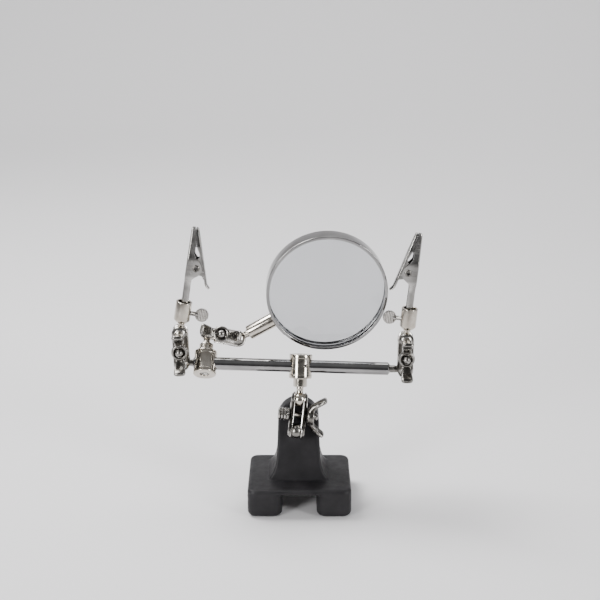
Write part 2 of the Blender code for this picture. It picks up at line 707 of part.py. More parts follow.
def make_arm(side, bar_ball, clamp_lean, socket_lean, bar_body):
    """Everything that hangs on one end of the bar. side is left or right."""
    inward = X if side == "left" else -X
    bar_way = bar_direction()
    end_gap = BAR_LEFT - LEFT_BAR_BALL if side == "left" else RIGHT_BAR_BALL - BAR_RIGHT
    into_bar = bar_way if side == "left" else -bar_way
    stud_place = frame(bar_ball, into_bar, Y)
    stud_body = pivot(f"{side}_bar_stud_turn", stud_place, bar_body)
    stud = ball_stud(end_gap + BAR_STUD_INSIDE)
    piece(f"{side}_bar_ball_stud", stud, stud_place, "nickel_steel", stud_body)

    clamp_place = frame(bar_ball, leaning(clamp_lean, 0), -Y)
    clamp_body = make_clamp(f"{side}_clamp", ("front", "back"), clamp_place, stud_body)

    along = leaning(socket_lean, 0)
    socket_place = frame(far_ball(clamp_place), along, inward)
    swing = pivot(f"{side}_socket_swing", socket_place, clamp_body)
    stud = ball_stud(SOCKET_FLOOR - 0.4)
    piece(f"{side}_socket_ball_stud", stud, socket_place, "nickel_brass", swing)
    socket_body = pivot(f"{side}_socket_turn", socket_place, swing)
    piece(f"{side}_clip_socket", clip_socket(), socket_place, "nickel_brass", socket_body)

    screw_place = turned_frame(socket_place, Vector((0, 0, THUMB_HEIGHT)), X, Z)
    screw_body = pivot(f"{side}_thumb_screw_turn", screw_place, socket_body)
    piece(f"{side}_thumb_screw", thumb_screw(), screw_place, "nickel_steel", screw_body)

    clip_body = pivot(f"{side}_clip_slide", socket_place, socket_body)
    piece(f"{side}_clip_fixed_jaw", fixed_jaw(), socket_place, "nickel_steel", clip_body)
    rivet_place = turned_frame(socket_place, Vector((RIVET[0], 0, RIVET[1])), Y, X)
    piece(f"{side}_clip_rivet", hollow_rivet(), rivet_place, "nickel_steel", clip_body)
    piece(f"{side}_clip_spring", clip_spring(), socket_place, "nickel_steel", clip_body)
    jaw_body = pivot(f"{side}_jaw_turn", rivet_place, clip_body)
    piece(f"{side}_clip_moving_jaw", moving_jaw(), socket_place, "nickel_steel", jaw_body)


def bar_direction():
    slope = math.radians(BAR_SLOPE)
    return Vector((math.cos(slope), 0, -math.sin(slope)))


# ---- magnifier ---------------------------------------------------------------------------------
def lens_ring():
    """A rolled band about Z with two lips, and the peg that the handle grips towards -X."""
    half, inner = RING_HALF_WIDTH, RING_RADIUS - RING_SHEET
    band = turned([(RING_RADIUS, half), (RING_RADIUS, -half), (RING_LIP, -half),
                   (RING_LIP, RING_SHEET - half), (inner, RING_SHEET - half), (inner, half - RING_SHEET),
                   (RING_LIP, half - RING_SHEET), (RING_LIP, half)], 40, ring=True)
    peg = rod((-LENS_DISTANCE + RING_PEG_START, 0, 0), (-RING_RADIUS + 0.4, 0, 0), RING_PEG_RADIUS, 16)
    return combine(band, "UNION", peg)


def lens_glass():
    """A glass with two convex faces, about Z."""
    rings = 4
    upper = []
    for index in range(rings + 1):
        share = index / rings
        upper.append((LENS_RADIUS * share, LENS_MIDDLE - (LENS_MIDDLE - LENS_EDGE) * share * share))
    lower = [(radius, -height) for radius, height in reversed(upper)]
    return turned(upper + lower, 32)


def lens_handle():
    edge = 0.4
    return turned([(HANDLE_BORE, HANDLE_END), (HANDLE_RADIUS - edge, HANDLE_END),
                   (HANDLE_RADIUS, HANDLE_END - edge), (HANDLE_RADIUS, HANDLE_START + edge),
                   (HANDLE_RADIUS - edge, HANDLE_START), (HANDLE_BORE, HANDLE_START)], 20, ring=True)


def make_magnifier(clamp_place, stud_body):
    clamp_body = make_clamp("magnifier_clamp", ("front", "back"), clamp_place, stud_body,
                            near_angle=WIDE_MOUTH_ANGLE)
    ball = far_ball(clamp_place)
    rise = math.radians(LENS_STEM_RISE)
    stem = Vector((math.cos(rise), 0, math.sin(rise)))
    forward = math.radians(LENS_FORWARD)
    facing = Vector((0, -math.cos(forward), -math.sin(forward)))
    stud_place = frame(ball, stem, facing)
    swing = pivot("lens_stud_swing", stud_place, clamp_body)
    piece("lens_ball_stud", ball_stud(LENS_STUD_LENGTH), stud_place, "nickel_brass", swing)
    lens_body = pivot("magnifier_turn", stud_place, swing)
    piece("lens_handle", lens_handle(), stud_place, "nickel_brass", lens_body)
    glass_place = turned_frame(stud_place, Vector((0, 0, LENS_DISTANCE)), X, Z)
    piece("lens_ring", lens_ring(), glass_place, "chrome", lens_body)
    piece("lens", lens_glass(), glass_place, "glass", lens_body)


# ---- the whole object --------------------------------------------------------------------------
def main():
    clear_scene()
    collection(PARTS)
    collection("cutters")
    make_materials()

    base = make_base()
    stud_place = frame(BASE_BALL, base_stud_direction(), X)
    base_stud = pivot("base_stud_turn", stud_place, base)
    piece("base_ball_stud", ball_stud(BASE_STUD_LENGTH), stud_place, "nickel_steel", base_stud)

    post_place = frame(BASE_BALL, leaning(*POST_CLAMP_LEAN), X)
    post_clamp = make_clamp("post_clamp", ("right", "left"), post_place, base_stud,
                            nut_turn=POST_NUT_TURN)

    holder_way = leaning(BAR_SLOPE, POST_STUD_BACK)
    bar_way = bar_direction()
    post_names = ("crossbar_holder", "holder_set_screw", "post_ball_stud")
    holder, _ = make_holder(post_names, far_ball(post_place), holder_way, bar_way, None, post_clamp)

    bar_middle = far_ball(post_place) + holder_way * BALL_TO_BAR
    bar_place = frame(bar_middle, bar_way, Y)
    bar = pivot("crossbar_slide", bar_place, holder)
    piece("crossbar", crossbar(), bar_place, "chrome", bar)

    make_arm("left", bar_middle + bar_way * LEFT_BAR_BALL, LEFT_CLAMP_LEAN, LEFT_SOCKET_LEAN, bar)
    make_arm("right", bar_middle + bar_way * RIGHT_BAR_BALL, RIGHT_CLAMP_LEAN, RIGHT_SOCKET_LEAN, bar)

    back = math.radians(SLEEVE_BACK)
    upright = bar_way.cross(Y)
    outward = upright * math.cos(back) + Y * math.sin(back)
    sleeve_ball = bar_middle + bar_way * SLEEVE_ALONG_BAR + outward * BALL_TO_BAR
    sleeve_names = ("magnifier_sleeve", "sleeve_set_screw", "magnifier_ball_stud")
    _, sleeve_stud = make_holder(sleeve_names, sleeve_ball, -outward, bar_way, bar, None)

    turn, drop = math.radians(LENS_CLAMP_TURN), math.radians(LENS_CLAMP_DROP)
    plate_up = Vector((0, math.sin(turn), math.cos(turn)))
    along = X * math.cos(drop) - plate_up * math.sin(drop)
    clamp_place = frame(sleeve_ball, along, Vector((0, -math.cos(turn), math.sin(turn))))
    make_magnifier(clamp_place, sleeve_stud)


main()
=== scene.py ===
"""Looks of the helping hands clamp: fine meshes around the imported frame, materials, floor and light.

Lengths are millimetres unless a name says metres. Each piece is modelled in its body's own local
frame, worked out from the frame's joints, and then rides on that body.
"""
import json
import math

import bmesh
import bpy
from mathutils import Matrix, Vector


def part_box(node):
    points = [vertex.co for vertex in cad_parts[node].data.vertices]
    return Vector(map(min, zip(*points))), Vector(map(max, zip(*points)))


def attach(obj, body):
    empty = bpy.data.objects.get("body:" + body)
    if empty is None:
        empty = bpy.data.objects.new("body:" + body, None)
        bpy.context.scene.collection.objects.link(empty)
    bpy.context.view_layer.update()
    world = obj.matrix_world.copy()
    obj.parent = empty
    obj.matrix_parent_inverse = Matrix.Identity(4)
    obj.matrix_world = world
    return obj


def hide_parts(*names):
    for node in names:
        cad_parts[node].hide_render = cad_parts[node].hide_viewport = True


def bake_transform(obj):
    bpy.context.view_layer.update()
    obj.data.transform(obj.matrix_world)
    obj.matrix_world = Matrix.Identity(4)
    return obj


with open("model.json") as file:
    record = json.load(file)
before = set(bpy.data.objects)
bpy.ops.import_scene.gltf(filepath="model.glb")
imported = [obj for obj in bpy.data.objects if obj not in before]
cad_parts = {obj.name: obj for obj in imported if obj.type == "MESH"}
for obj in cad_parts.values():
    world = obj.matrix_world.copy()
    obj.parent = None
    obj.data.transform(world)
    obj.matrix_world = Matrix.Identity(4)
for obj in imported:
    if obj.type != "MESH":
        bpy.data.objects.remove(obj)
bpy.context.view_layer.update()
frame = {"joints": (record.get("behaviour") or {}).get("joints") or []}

MM = 0.001
GAP = 0.3
X, Y, Z = Vector((1, 0, 0)), Vector((0, 1, 0)), Vector((0, 0, 1))
JOINTS = {joint["name"]: joint for joint in frame["joints"]}

# ---- shared sizes, as in the solids ------------------------------------------------------------
BALL = 4.0                  # radii of a stud's ball, of its neck and of its shank
NECK = 1.8
STUD = 2.0
SPACING = 17.2              # between the two balls of a clamp
RIM = 2.3                   # from a clamp's middle plane to its plates' rims and to their flat seats
SEAT = 4.6
WASHER = 1.1
MOUTH_ANGLE = 34.0          # degrees that a plate's open end flares from the middle plane
WIDE_MOUTH_ANGLE = 42.0
MOUTH_INWARD = 1.0          # how far past the ball's centre an open end is cut
WIDE_MOUTH_INWARD = 4.5
BAR_RADIUS = 3.5
HOLDER_RADIUS = 6.25
HOLDER_HALF = 6.55
HOLDER_DISTANCE = 18.2      # from a ball to the bar's axis
SOCKET_RADIUS = 4.35
THUMB_SCREW_HEIGHT = 11.8
SHEET = 0.6                 # the clips: heights are from the socket's ball
RIVET = (3.8, 37.8)
CLIP_BACK = -1.6
CLIP_TIP = 59.3
BITE_TOP = 57.9
TEETH_START = 49.5
BITE_GAP = 0.2              # from the bite line to each jaw's teeth
RING_RADIUS = 33.1
RING_HALF = 5.0
LENS_RADIUS = 32.0
LENS_DISTANCE = 56.1        # from the ball to the lens's middle
LENS_FORWARD = 7.5          # degrees
POST_NUT_TURN = 28.0        # degrees
STEPS = 64


# ---- frames ------------------------------------------------------------------------------------
def axis_frame(origin, along, side):
    """A frame in metres at origin, Z along one direction and X as near to side as it can be."""
    z_axis = along.normalized()
    x_axis = (side - z_axis * side.dot(z_axis)).normalized()
    axes = Matrix((x_axis, z_axis.cross(x_axis), z_axis)).transposed().to_4x4()
    return Matrix.Translation(origin) @ axes


def place_of(joint):
    return Vector(JOINTS[joint]["pos_m"])


def axis_of(joint):
    return Vector(JOINTS[joint]["axis"]).normalized()


def local(base, origin, along, side):
    """A frame given in millimetres in another frame's own directions."""
    return base @ axis_frame(Vector(origin) * MM, along, side)


# ---- mesh helpers ------------------------------------------------------------------------------
def mesh_from(working):
    """A finished mesh in metres."""
    bmesh.ops.transform(working, matrix=Matrix.Scale(MM, 4), verts=working.verts)
    mesh = bpy.data.meshes.new("shape")
    working.to_mesh(mesh)
    working.free()
    return mesh


def working_object(mesh):
    item = bpy.data.objects.new("working", mesh)
    bpy.context.scene.collection.objects.link(item)
    return item


def evaluated(item):
    """The object's mesh with its modifiers applied; the object is used up."""
    graph = bpy.context.evaluated_depsgraph_get()
    mesh = bpy.data.meshes.new_from_object(item.evaluated_get(graph))
    bpy.data.objects.remove(item)
    return mesh


def arc(radius, first, last, count, centre=(0.0, 0.0)):
    """Points on a circle, from one angle to another in degrees."""
    points = []
    for index in range(count + 1):
        angle = math.radians(first + (last - first) * index / count)
        points.append((centre[0] + radius * math.cos(angle), centre[1] + radius * math.sin(angle)))
    return points


def soften(points, radius, closed=False):
    """Round each corner of a polyline with a short curve."""
    most_of_side, nearly_straight = 0.45, math.radians(12)
    made = []
    count = len(points)
    for index, point in enumerate(points):
        if not closed and index in (0, count - 1):
            made.append(point)
            continue
        corner = Vector(point)
        before = Vector(points[index - 1]) - corner
        after = Vector(points[(index + 1) % count]) - corner
        reach = min(radius, before.length * most_of_side, after.length * most_of_side)
        if before.angle(-after, 0) < nearly_straight or reach < 1e-4:
            made.append(point)
            continue
        start = corner + before.normalized() * reach
        end = corner + after.normalized() * reach
        for share in (0, 0.25, 0.5, 0.75, 1):
            near = start.lerp(corner, share)
            far = corner.lerp(end, share)
            made.append(tuple(near.lerp(far, share)))
    return made


def lathe(profile, steps=STEPS, ring=False, edge=0.0):
    """Turn (radius, height) points about Z into a closed mesh, with its corners rounded by edge."""
    points = soften(profile, edge, ring) if edge else profile
    working = bmesh.new()
    rings = []
    for radius, height in points:
        if radius < 1e-6:
            rings.append([working.verts.new((0, 0, height))])
            continue
        turns = [2 * math.pi * step / steps for step in range(steps)]
        rings.append([working.verts.new((radius * math.cos(turn), radius * math.sin(turn), height))
                      for turn in turns])
    pairs = list(zip(rings, rings[1:])) + ([(rings[-1], rings[0])] if ring else [])
    for upper, lower in pairs:
        for step in range(steps):
            after = (step + 1) % steps
            corners = [upper[step % len(upper)], lower[step % len(lower)],
                       lower[after % len(lower)], upper[after % len(upper)]]
            corners = [corner for place, corner in enumerate(corners) if corner not in corners[:place]]
            working.faces.new(corners)
    bmesh.ops.recalc_face_normals(working, faces=working.faces)
    return mesh_from(working)


def box_mesh(low, high):
    working = bmesh.new()
    bmesh.ops.create_cube(working, size=1.0)
    low, high = Vector(low), Vector(high)
    place = Matrix.Translation((low + high) / 2) @ Matrix.Diagonal((*(high - low), 1))
    bmesh.ops.transform(working, matrix=place, verts=working.verts)
    return mesh_from(working)


def rod_mesh(start, end, radius, steps=32):
    start, end = Vector(start), Vector(end)
    along = end - start
    working = bmesh.new()
    bmesh.ops.create_cone(working, cap_ends=True, segments=steps, radius1=radius, radius2=radius,
                          depth=along.length)
    place = Matrix.Translation((start + end) / 2) @ along.to_track_quat("Z", "Y").to_matrix().to_4x4()
    bmesh.ops.transform(working, matrix=place, verts=working.verts)
    return mesh_from(working)


def turned_mesh(mesh, matrix):
    """Move a mesh by a matrix in millimetres."""
    mesh.transform(Matrix.Scale(MM, 4) @ matrix @ Matrix.Scale(1 / MM, 4))
    return mesh


def combine(mesh, operation, *tools):
    """A mesh after one Boolean operation with each of the tools."""
    item = working_object(mesh)
    helpers = [working_object(tool) for tool in tools]
    for helper in helpers:
        step = item.modifiers.new("Boolean", "BOOLEAN")
        step.operation = operation
        step.object = helper
    made = evaluated(item)
    for helper in helpers:
        bpy.data.objects.remove(helper)
    return made


def bevelled(mesh, width, segments=2, angle=35):
    """A mesh with its edges rounded wherever they are sharper than the angle in degrees."""
    item = working_object(mesh)
    edges = item.modifiers.new("Bevel", "BEVEL")
    edges.width = width * MM
    edges.segments = segments
    edges.limit_method = "ANGLE"
    edges.angle_limit = math.radians(angle)
    edges.miter_outer = "MITER_ARC"
    return evaluated(item)


def loft(sections):
    """Join rings of points, each a list of (x, y, z), into one closed mesh."""
    working = bmesh.new()
    rings = [[working.verts.new(point) for point in section] for section in sections]
    count = len(rings[0])
    for lower, upper in zip(rings, rings[1:]):
        for index in range(count):
            after = (index + 1) % count
            working.faces.new((lower[index], lower[after], upper[after], upper[index]))
    working.faces.new(rings[0])
    working.faces.new(rings[-1])
    bmesh.ops.recalc_face_normals(working, faces=working.faces)
    return mesh_from(working)


def curve_tube(path, radius):
    """A round wire along a list of points."""
    curve = bpy.data.curves.new("wire", "CURVE")
    curve.dimensions = "3D"
    curve.bevel_depth = radius * MM
    curve.bevel_resolution = 4
    curve.use_fill_caps = True
    spline = curve.splines.new("POLY")
    spline.points.add(len(path) - 1)
    for point, place in zip(spline.points, path):
        point.co = (*(value * MM for value in place), 1)
    mesh = evaluated(working_object(curve))
    working = bmesh.new()
    working.from_mesh(mesh)
    bmesh.ops.remove_doubles(working, verts=working.verts, dist=1e-7)
    bmesh.ops.recalc_face_normals(working, faces=working.faces)
    working.to_mesh(mesh)
    working.free()
    return mesh


def add_piece(name, mesh, placed, body, slot, material, *nodes, smooth=32, bend=None):
    """Show a finished mesh as the named piece, on its body, in place of CAD nodes.

    bend is (second body, start, end) for a springy piece; only whether it is given is used, and such a
    piece is baked where it stands and not put on any body.
    """
    mesh.shade_smooth()
    mesh.set_sharp_from_angle(angle=math.radians(smooth))
    if slot != "nickel_brass":                 # turned brass keeps its own Z for its turning marks
        mesh.transform(placed)
        placed = Matrix.Identity(4)
    item = bpy.data.objects.new(name, mesh)
    bpy.context.scene.collection.objects.link(item)
    item.matrix_world = placed
    mesh.materials.clear()
    mesh.materials.append(material)
    if bend:
        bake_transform(item)
    else:
        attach(item, body)
    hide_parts(*nodes)


# ---- materials ---------------------------------------------------------------------------------
class Look:
    """A Principled material with its own noise, colour and bump nodes.

    Noise scales are per metre. A ramp goes from its first value or colour to its last as the
    factor goes from low to high.
    """

    def __init__(self, name, **sockets):
        self.material = bpy.data.materials.new(name)
        self.material.use_nodes = True
        self.tree = self.material.node_tree
        self.shader = self.tree.nodes["Principled BSDF"]
        for socket, value in sockets.items():
            self.shader.inputs[socket.replace("_", " ")].default_value = value
        self.place = self.tree.nodes.new("ShaderNodeTexCoord").outputs["Object"]

    def link(self, start, end):
        self.tree.links.new(start, end)

    def stretched(self, scale):
        """Object coordinates drawn out along some axes."""
        mapping = self.tree.nodes.new("ShaderNodeMapping")
        mapping.inputs["Scale"].default_value = scale
        self.link(self.place, mapping.inputs["Vector"])
        return mapping.outputs["Vector"]

    def noise(self, scale, detail=4.0, rough=0.55, place=None):
        made = self.tree.nodes.new("ShaderNodeTexNoise")
        made.inputs["Scale"].default_value = scale
        made.inputs["Detail"].default_value = detail
        made.inputs["Roughness"].default_value = rough
        self.link(place or self.place, made.inputs["Vector"])
        return made.outputs["Fac"]

    def ramp(self, factor, low, high, first, last):
        made = self.tree.nodes.new("ShaderNodeValToRGB")
        made.color_ramp.elements[0].position = low
        made.color_ramp.elements[1].position = high
        for element, value in zip(made.color_ramp.elements, (first, last)):
            element.color = (*value, 1) if isinstance(value, tuple) else (value, value, value, 1)
        self.link(factor, made.inputs["Fac"])
        return made.outputs["Color"]

    def edge_highlight_hollow_shade(self, scale, unevenness):
        """Painted light: a painted highlight on raised edges and painted shade in hollows, from the
        surface's pointiness, and a little uneven.
        """
        mixed = self.tree.nodes.new("ShaderNodeMath")
        mixed.operation = "MULTIPLY_ADD"
        self.link(self.noise(scale, 5), mixed.inputs[0])
        mixed.inputs[1].default_value = unevenness
        self.link(self.tree.nodes.new("ShaderNodeNewGeometry").outputs["Pointiness"], mixed.inputs[2])
        return mixed.outputs["Value"]

    def colour(self, *ramp_values):
        self.link(self.ramp(*ramp_values), self.shader.inputs["Base Color"])

    def roughness(self, *ramp_values):
        self.link(self.ramp(*ramp_values), self.shader.inputs["Roughness"])

    def bump(self, height, depth_metres, strength=1.0):
        made = self.tree.nodes.new("ShaderNodeBump")
        made.inputs["Strength"].default_value = strength
        made.inputs["Distance"].default_value = depth_metres
        self.link(height, made.inputs["Height"])
        if self.shader.inputs["Normal"].is_linked:
            self.link(self.shader.inputs["Normal"].links[0].from_socket, made.inputs["Normal"])
        self.link(made.outputs["Normal"], self.shader.inputs["Normal"])


def black_paint():
    look = Look("cast_black_paint", Specular_IOR_Level=0.2)
    look.colour(look.noise(90, 6), 0.35, 0.7, (0.009, 0.0085, 0.0095), (0.017, 0.016, 0.0175))
    look.roughness(look.noise(260, 5), 0.3, 0.75, 0.38, 0.56)
    look.bump(look.noise(140, 3), 0.00022, 0.55)
    look.bump(look.noise(1500, 4), 0.00005, 0.5)
    return look.material


def nickel_steel():
    look = Look("nickel_plated_steel", Metallic=1.0)
    # painted shade in hollows and a painted highlight on raised edges, from pointiness
    look.colour(look.edge_highlight_hollow_shade(170, 0.06), 0.525, 0.605, (0.07, 0.065, 0.057), (0.64, 0.62, 0.59))
    look.roughness(look.noise(420, 5), 0.3, 0.72, 0.18, 0.32)
    look.bump(look.noise(330, 4), 0.00004, 0.3)
    return look.material


def clip_steel():
    """The clips' steel: a darker copy of the nickel steel, with painted shade in hollows and a painted
    highlight on edges that is less bright than the clamps'.
    """
    look = Look("clip_steel", Metallic=1.0)
    # painted shade in hollows and a painted highlight on raised edges, from pointiness
    look.colour(look.edge_highlight_hollow_shade(170, 0.06), 0.52, 0.61, (0.085, 0.08, 0.074), (0.50, 0.49, 0.47))
    look.roughness(look.noise(420, 5), 0.3, 0.72, 0.16, 0.30)
    look.bump(look.noise(330, 4), 0.00005, 0.4)
    return look.material


def nickel_brass():
    look = Look("nickel_plated_brass", Metallic=1.0)
    look.colour(look.noise(150, 5), 0.35, 0.7, (0.46, 0.42, 0.36), (0.66, 0.62, 0.555))
    look.roughness(look.noise(300, 5), 0.3, 0.72, 0.10, 0.22)
    turning = look.noise(2600, 2, 0.5, look.stretched((0.0, 0.0, 1.0)))
    look.bump(turning, 0.000012, 0.7)
    return look.material


def chrome():
    look = Look("bright_chrome", Metallic=1.0)
    look.colour(look.noise(80, 4), 0.3, 0.75, (0.235, 0.232, 0.23), (0.36, 0.356, 0.353))
    look.roughness(look.noise(160, 6), 0.35, 0.75, 0.05, 0.13)
    look.bump(look.noise(500, 3), 0.000015, 0.3)
    return look.material


def lens_glass_look():
    look = Look("lens_glass", Transmission_Weight=1.0, IOR=1.5)
    # grey-blue tint: painted shade standing in for the darker surroundings seen through the clear lens
    look.colour(look.noise(30, 2), 0.3, 0.7, (0.57, 0.582, 0.60), (0.60, 0.612, 0.63))
    look.roughness(look.noise(120, 5), 0.45, 0.8, 0.0, 0.02)
    return look.material


# ---- base --------------------------------------------------------------------------------------
def rounded_box(low, high, corner, top_edge, foot_edge):
    """A box with its own rounding for the upright corners, the top edges and the bottom edges."""
    smallest_corner, corner_steps = 0.3, 8
    quarter = [math.radians(angle) for angle in range(0, 91, 15)]
    levels = [(low[2] + foot_edge * (1 - math.sin(a)), foot_edge * (1 - math.cos(a)))
              for a in reversed(quarter)]
    levels += [(high[2] - top_edge * (1 - math.sin(a)), top_edge * (1 - math.cos(a)))
               for a in quarter]
    corners = ((0, high[0], high[1], 1, 1), (90, low[0], high[1], -1, 1),
               (180, low[0], low[1], -1, -1), (270, high[0], low[1], 1, -1))
    sections = []
    for height, inset in levels:
        radius = max(corner - inset, smallest_corner)
        ring = []
        for first, across, deep, turn_x, turn_y in corners:
            middle = (across - turn_x * (inset + radius), deep - turn_y * (inset + radius))
            ring += [(x, y, height) for x, y in arc(radius, first, first + 90, corner_steps, middle)]
        sections.append(ring)
    return loft(sections)


def joined(meshes):
    """Several closed meshes as one, to be fused by a voxel remesh."""
    working = bmesh.new()
    for mesh in meshes:
        working.from_mesh(mesh)
    made = bpy.data.meshes.new("joined")
    working.to_mesh(made)
    working.free()
    return made


def fused(mesh, voxel, passes):
    """Fuse overlapping bodies into one skin with softly rounded edges and corners."""
    item = working_object(mesh)
    remesh = item.modifiers.new("Remesh", "REMESH")
    remesh.mode = "VOXEL"
    remesh.voxel_size = voxel * MM
    soft = item.modifiers.new("Smooth", "SMOOTH")
    soft.factor = 0.5
    soft.iterations = passes
    return evaluated(item)


def pillar_mesh(middle, top):
    """Front outline and side outline, each drawn through, and what they share."""
    bottom, head_radius, stud_reach = 13.9, 11.3, 8.3
    lean = math.tan(math.radians(15.4))
    through_front, through_side, above = 40, 60, top + 2
    right = [(17.8, bottom), (17.4, 15.0), (16.0, 17.0), (14.2, 19.6), (12.9, 23.0), (12.2, 27.0),
             (11.7, 34.0)]
    outline = right + arc(head_radius, 0, 90, 24, (0, top - head_radius))
    outline += [(-across, height) for across, height in reversed(outline[:-1])]
    front = loft([[(middle + across, depth, height) for across, height in outline]
                  for depth in (-through_front, through_front)])
    foot = (place_of("base_stud_turn") + axis_of("base_stud_turn") * stud_reach * MM) / MM
    face = [(foot.y - (foot.z - height) * lean, height) for height in (bottom, above)]
    back = [(17.7, bottom), (17.3, 15.0), (15.6, 17.4), (13.6, 20.8), (11.9, 27.0), (9.35, above)]
    side_outline = [face[0]] + back + [face[1]]
    side = loft([[(across, depth, height) for depth, height in side_outline]
                 for across in (-through_side, through_side)])
    return bevelled(combine(front, "INTERSECT", side), 0.9, 3)


def base_shape():
    """The casting: a slab on four rounded feet, and a flared, round-topped pillar."""
    low, high = (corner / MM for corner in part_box("base_casting"))
    middle = (low.x + high.x) / 2
    slab_top, front_roof, side_roof = 16.0, 13.2, 8.0
    leg_top = slab_top - 0.5
    foot_gap, side_gap = 9.35, 7.5
    corner, top_edge, foot_edge = 4.7, 2.0, 2.8
    front_roof_edge, side_roof_edge = 0.6, 1.0
    pillar_offset, voxel, smooth_passes = 0.5, 0.5, 6
    bodies = [rounded_box((low.x, low.y, front_roof), (high.x, high.y, slab_top), corner, top_edge,
                          front_roof_edge)]
    for side in (-1, 1):
        outer = (middle + side * (high.x - low.x) / 2, middle + side * foot_gap)
        left, right = sorted(outer)
        bodies.append(rounded_box((left, low.y, side_roof), (right, high.y, leg_top), corner, top_edge,
                                  side_roof_edge))
        for near, far in ((low.y, -side_gap), (side_gap, high.y)):
            bodies.append(rounded_box((left, near, 0), (right, far, leg_top), corner, top_edge, foot_edge))
    bodies.append(pillar_mesh(middle - pillar_offset, high.z))
    return fused(joined(bodies), voxel, smooth_passes)


# ---- clamps ------------------------------------------------------------------------------------
def ball_stud(length):
    """A ball at the origin with a straight shank up to length."""
    neck_angle = math.degrees(math.acos(NECK / BALL))
    shank = soften([(0, length), (STUD, length), (STUD, 5.8), (NECK, 5.2), (NECK, 4.2)], 0.35)
    profile = shank + arc(BALL, neck_angle, -90, 22)
    profile[-1] = (0, -BALL)
    return lathe(profile, 48)


def capsule(end_radius, waist_radius):
    """Two balls, one at each end of a clamp, joined by a straight waist."""
    waist = math.degrees(math.acos(waist_radius / end_radius))
    profile = arc(end_radius, 90, -waist, 16, (0, SPACING)) + arc(end_radius, waist, -90, 16)
    profile[0] = (0, SPACING + end_radius)
    profile[-1] = (0, -end_radius)
    return lathe(profile, STEPS)


def mouth(height, outward, angle, inward):
    """The room for a shank: all that lies within an angle of the middle plane, from inward on."""
    reach, far = 12.0, 20.0
    rise = reach * math.tan(math.radians(angle))
    cone = lathe([(0.02, 0), (reach, -rise), (reach, -rise - far), (reach + 1, -rise - far),
                  (reach + 1, rise + far), (reach, rise + far), (reach, rise)], 48, ring=True)
    turned_mesh(cone, Matrix.Translation((0, 0, height)) @ Matrix.Rotation(math.pi / 2, 4, "Y"))
    low, high = sorted((height - outward * inward, height + outward * far))
    return combine(cone, "INTERSECT", box_mesh((-8, -far, low), (8, far, high)))


def clamp_plate(near_angle, near_inward):
    """One dished plate with a cup over each ball and a flat seat for the bolt."""
    far, seat_start = 20.0, 4.3
    cup_hole, bolt_hole = 2.4, 2.2
    outer, outer_waist, inner_waist = 5.1, 4.8, 3.7
    plate = capsule(outer, outer_waist)
    tools = [capsule(BALL + GAP, inner_waist), box_mesh((-far, -far, -far), (RIM, far, 2 * far)),
             box_mesh((SEAT, -far, seat_start), (far, far, SPACING - seat_start))]
    for height, outward, angle, inward in ((0, -1, near_angle, near_inward),
                                           (SPACING, 1, MOUTH_ANGLE, MOUTH_INWARD)):
        tools.append(rod_mesh((2, 0, height), (9, 0, height), cup_hole))
        tools.append(mouth(height, outward, angle, inward))
    tools.append(rod_mesh((2, 0, SPACING / 2), (9, 0, SPACING / 2), bolt_hole))
    return bevelled(combine(plate, "DIFFERENCE", *tools), 0.16, 2, 40)


def threaded(radius, top, bottom, pitch=0.6, depth=0.18):
    """Profile points down a thread drawn as close rings."""
    points = []
    turns = int((top - bottom) / pitch)
    for index in range(turns):
        height = top - index * pitch
        points += [(radius, height - pitch * 0.2), (radius - depth, height - pitch * 0.6)]
    return points


def clamp_bolt():
    """Domed tip, threaded shank and a head of three grooved rings."""
    level = -SEAT - 2 * GAP - WASHER
    shank, head, ribs = 1.9, 3.4, 3
    rib = 4.6 / ribs
    groove = head - 0.5
    crown = head - 0.08
    profile = arc(2.4, 90, 55, 5, (0, 8.75))
    profile[0] = (0, profile[0][1])
    profile += [(1.55, 10.5), (shank, 10.1)] + threaded(shank, 9.9, -3.0)
    profile += [(shank, level)]
    for _ in range(ribs):
        profile += [(groove, level - 0.02), (crown, level - rib * 0.22), (head, level - rib * 0.5),
                    (crown, level - rib * 0.78), (groove, level - rib + 0.02)]
        level -= rib
    profile += [(head - 1.3, level), (0, level)]
    return lathe(profile, 56)


def lock_washer():
    """A ring with one slanting cut through it."""
    outer, inner, half_cut = 3.4, 2.25, 0.22
    top = -SEAT - GAP
    bottom = top - WASHER
    ring = lathe([(outer, top), (outer, bottom), (inner, bottom), (inner, top)], 64, True, 0.14)
    cut = box_mesh((1.5, -half_cut, bottom - 1), (4.5, half_cut, top + 1))
    slant = Matrix.Rotation(math.radians(18), 4, "X")
    turned_mesh(cut, Matrix.Rotation(math.radians(40), 4, "Z") @ slant)
    return combine(ring, "DIFFERENCE", cut)


def wing(side):
    """One wing: a thick strip that widens and cups as it sweeps out to its rounded tip."""
    rows, around = 30, 28
    root, span, root_height, rise, curve = 2.6, 8.1, 6.9, 7.9, 1.6
    half_width, waist, flare = 2.9, 0.75, 0.3
    half_thick, root_thick, cup_depth = 1.25, 0.75, 1.05
    tip_start, blunt = 0.9, 0.6
    sections = []
    for row in range(rows + 1):
        share = row / rows
        reach = root + span * share ** 0.9
        height = root_height + rise * share ** curve
        slope = math.atan2(rise * curve * max(share, 0.03) ** (curve - 1), span)
        half = half_width - waist * math.sin(math.pi * min(share * 1.25, 1.0)) ** 1.5 + flare * share
        thick = half_thick + root_thick * (1 - share) ** 3
        if share > tip_start:
            close = math.sqrt(max(1 - ((share - tip_start) / (1 - tip_start)) ** 2, 0.0))
            half *= blunt + (1 - blunt) * close
            thick *= blunt + (1 - blunt) * close
        cup = cup_depth * math.sin(math.pi * min(share * 1.15, 1.0)) ** 0.8
        ring = []
        for step in range(around):
            angle = 2 * math.pi * step / around
            across = half * math.copysign(abs(math.cos(angle)) ** 0.7, math.cos(angle))
            offset = thick * math.copysign(abs(math.sin(angle)) ** 0.8, math.sin(angle))
            offset += cup * (across / half) ** 2 - cup * 0.45
            ring.append((side * (reach - offset * math.sin(slope)), across,
                         height + offset * math.cos(slope)))
        sections.append(ring)
    return loft(sections)


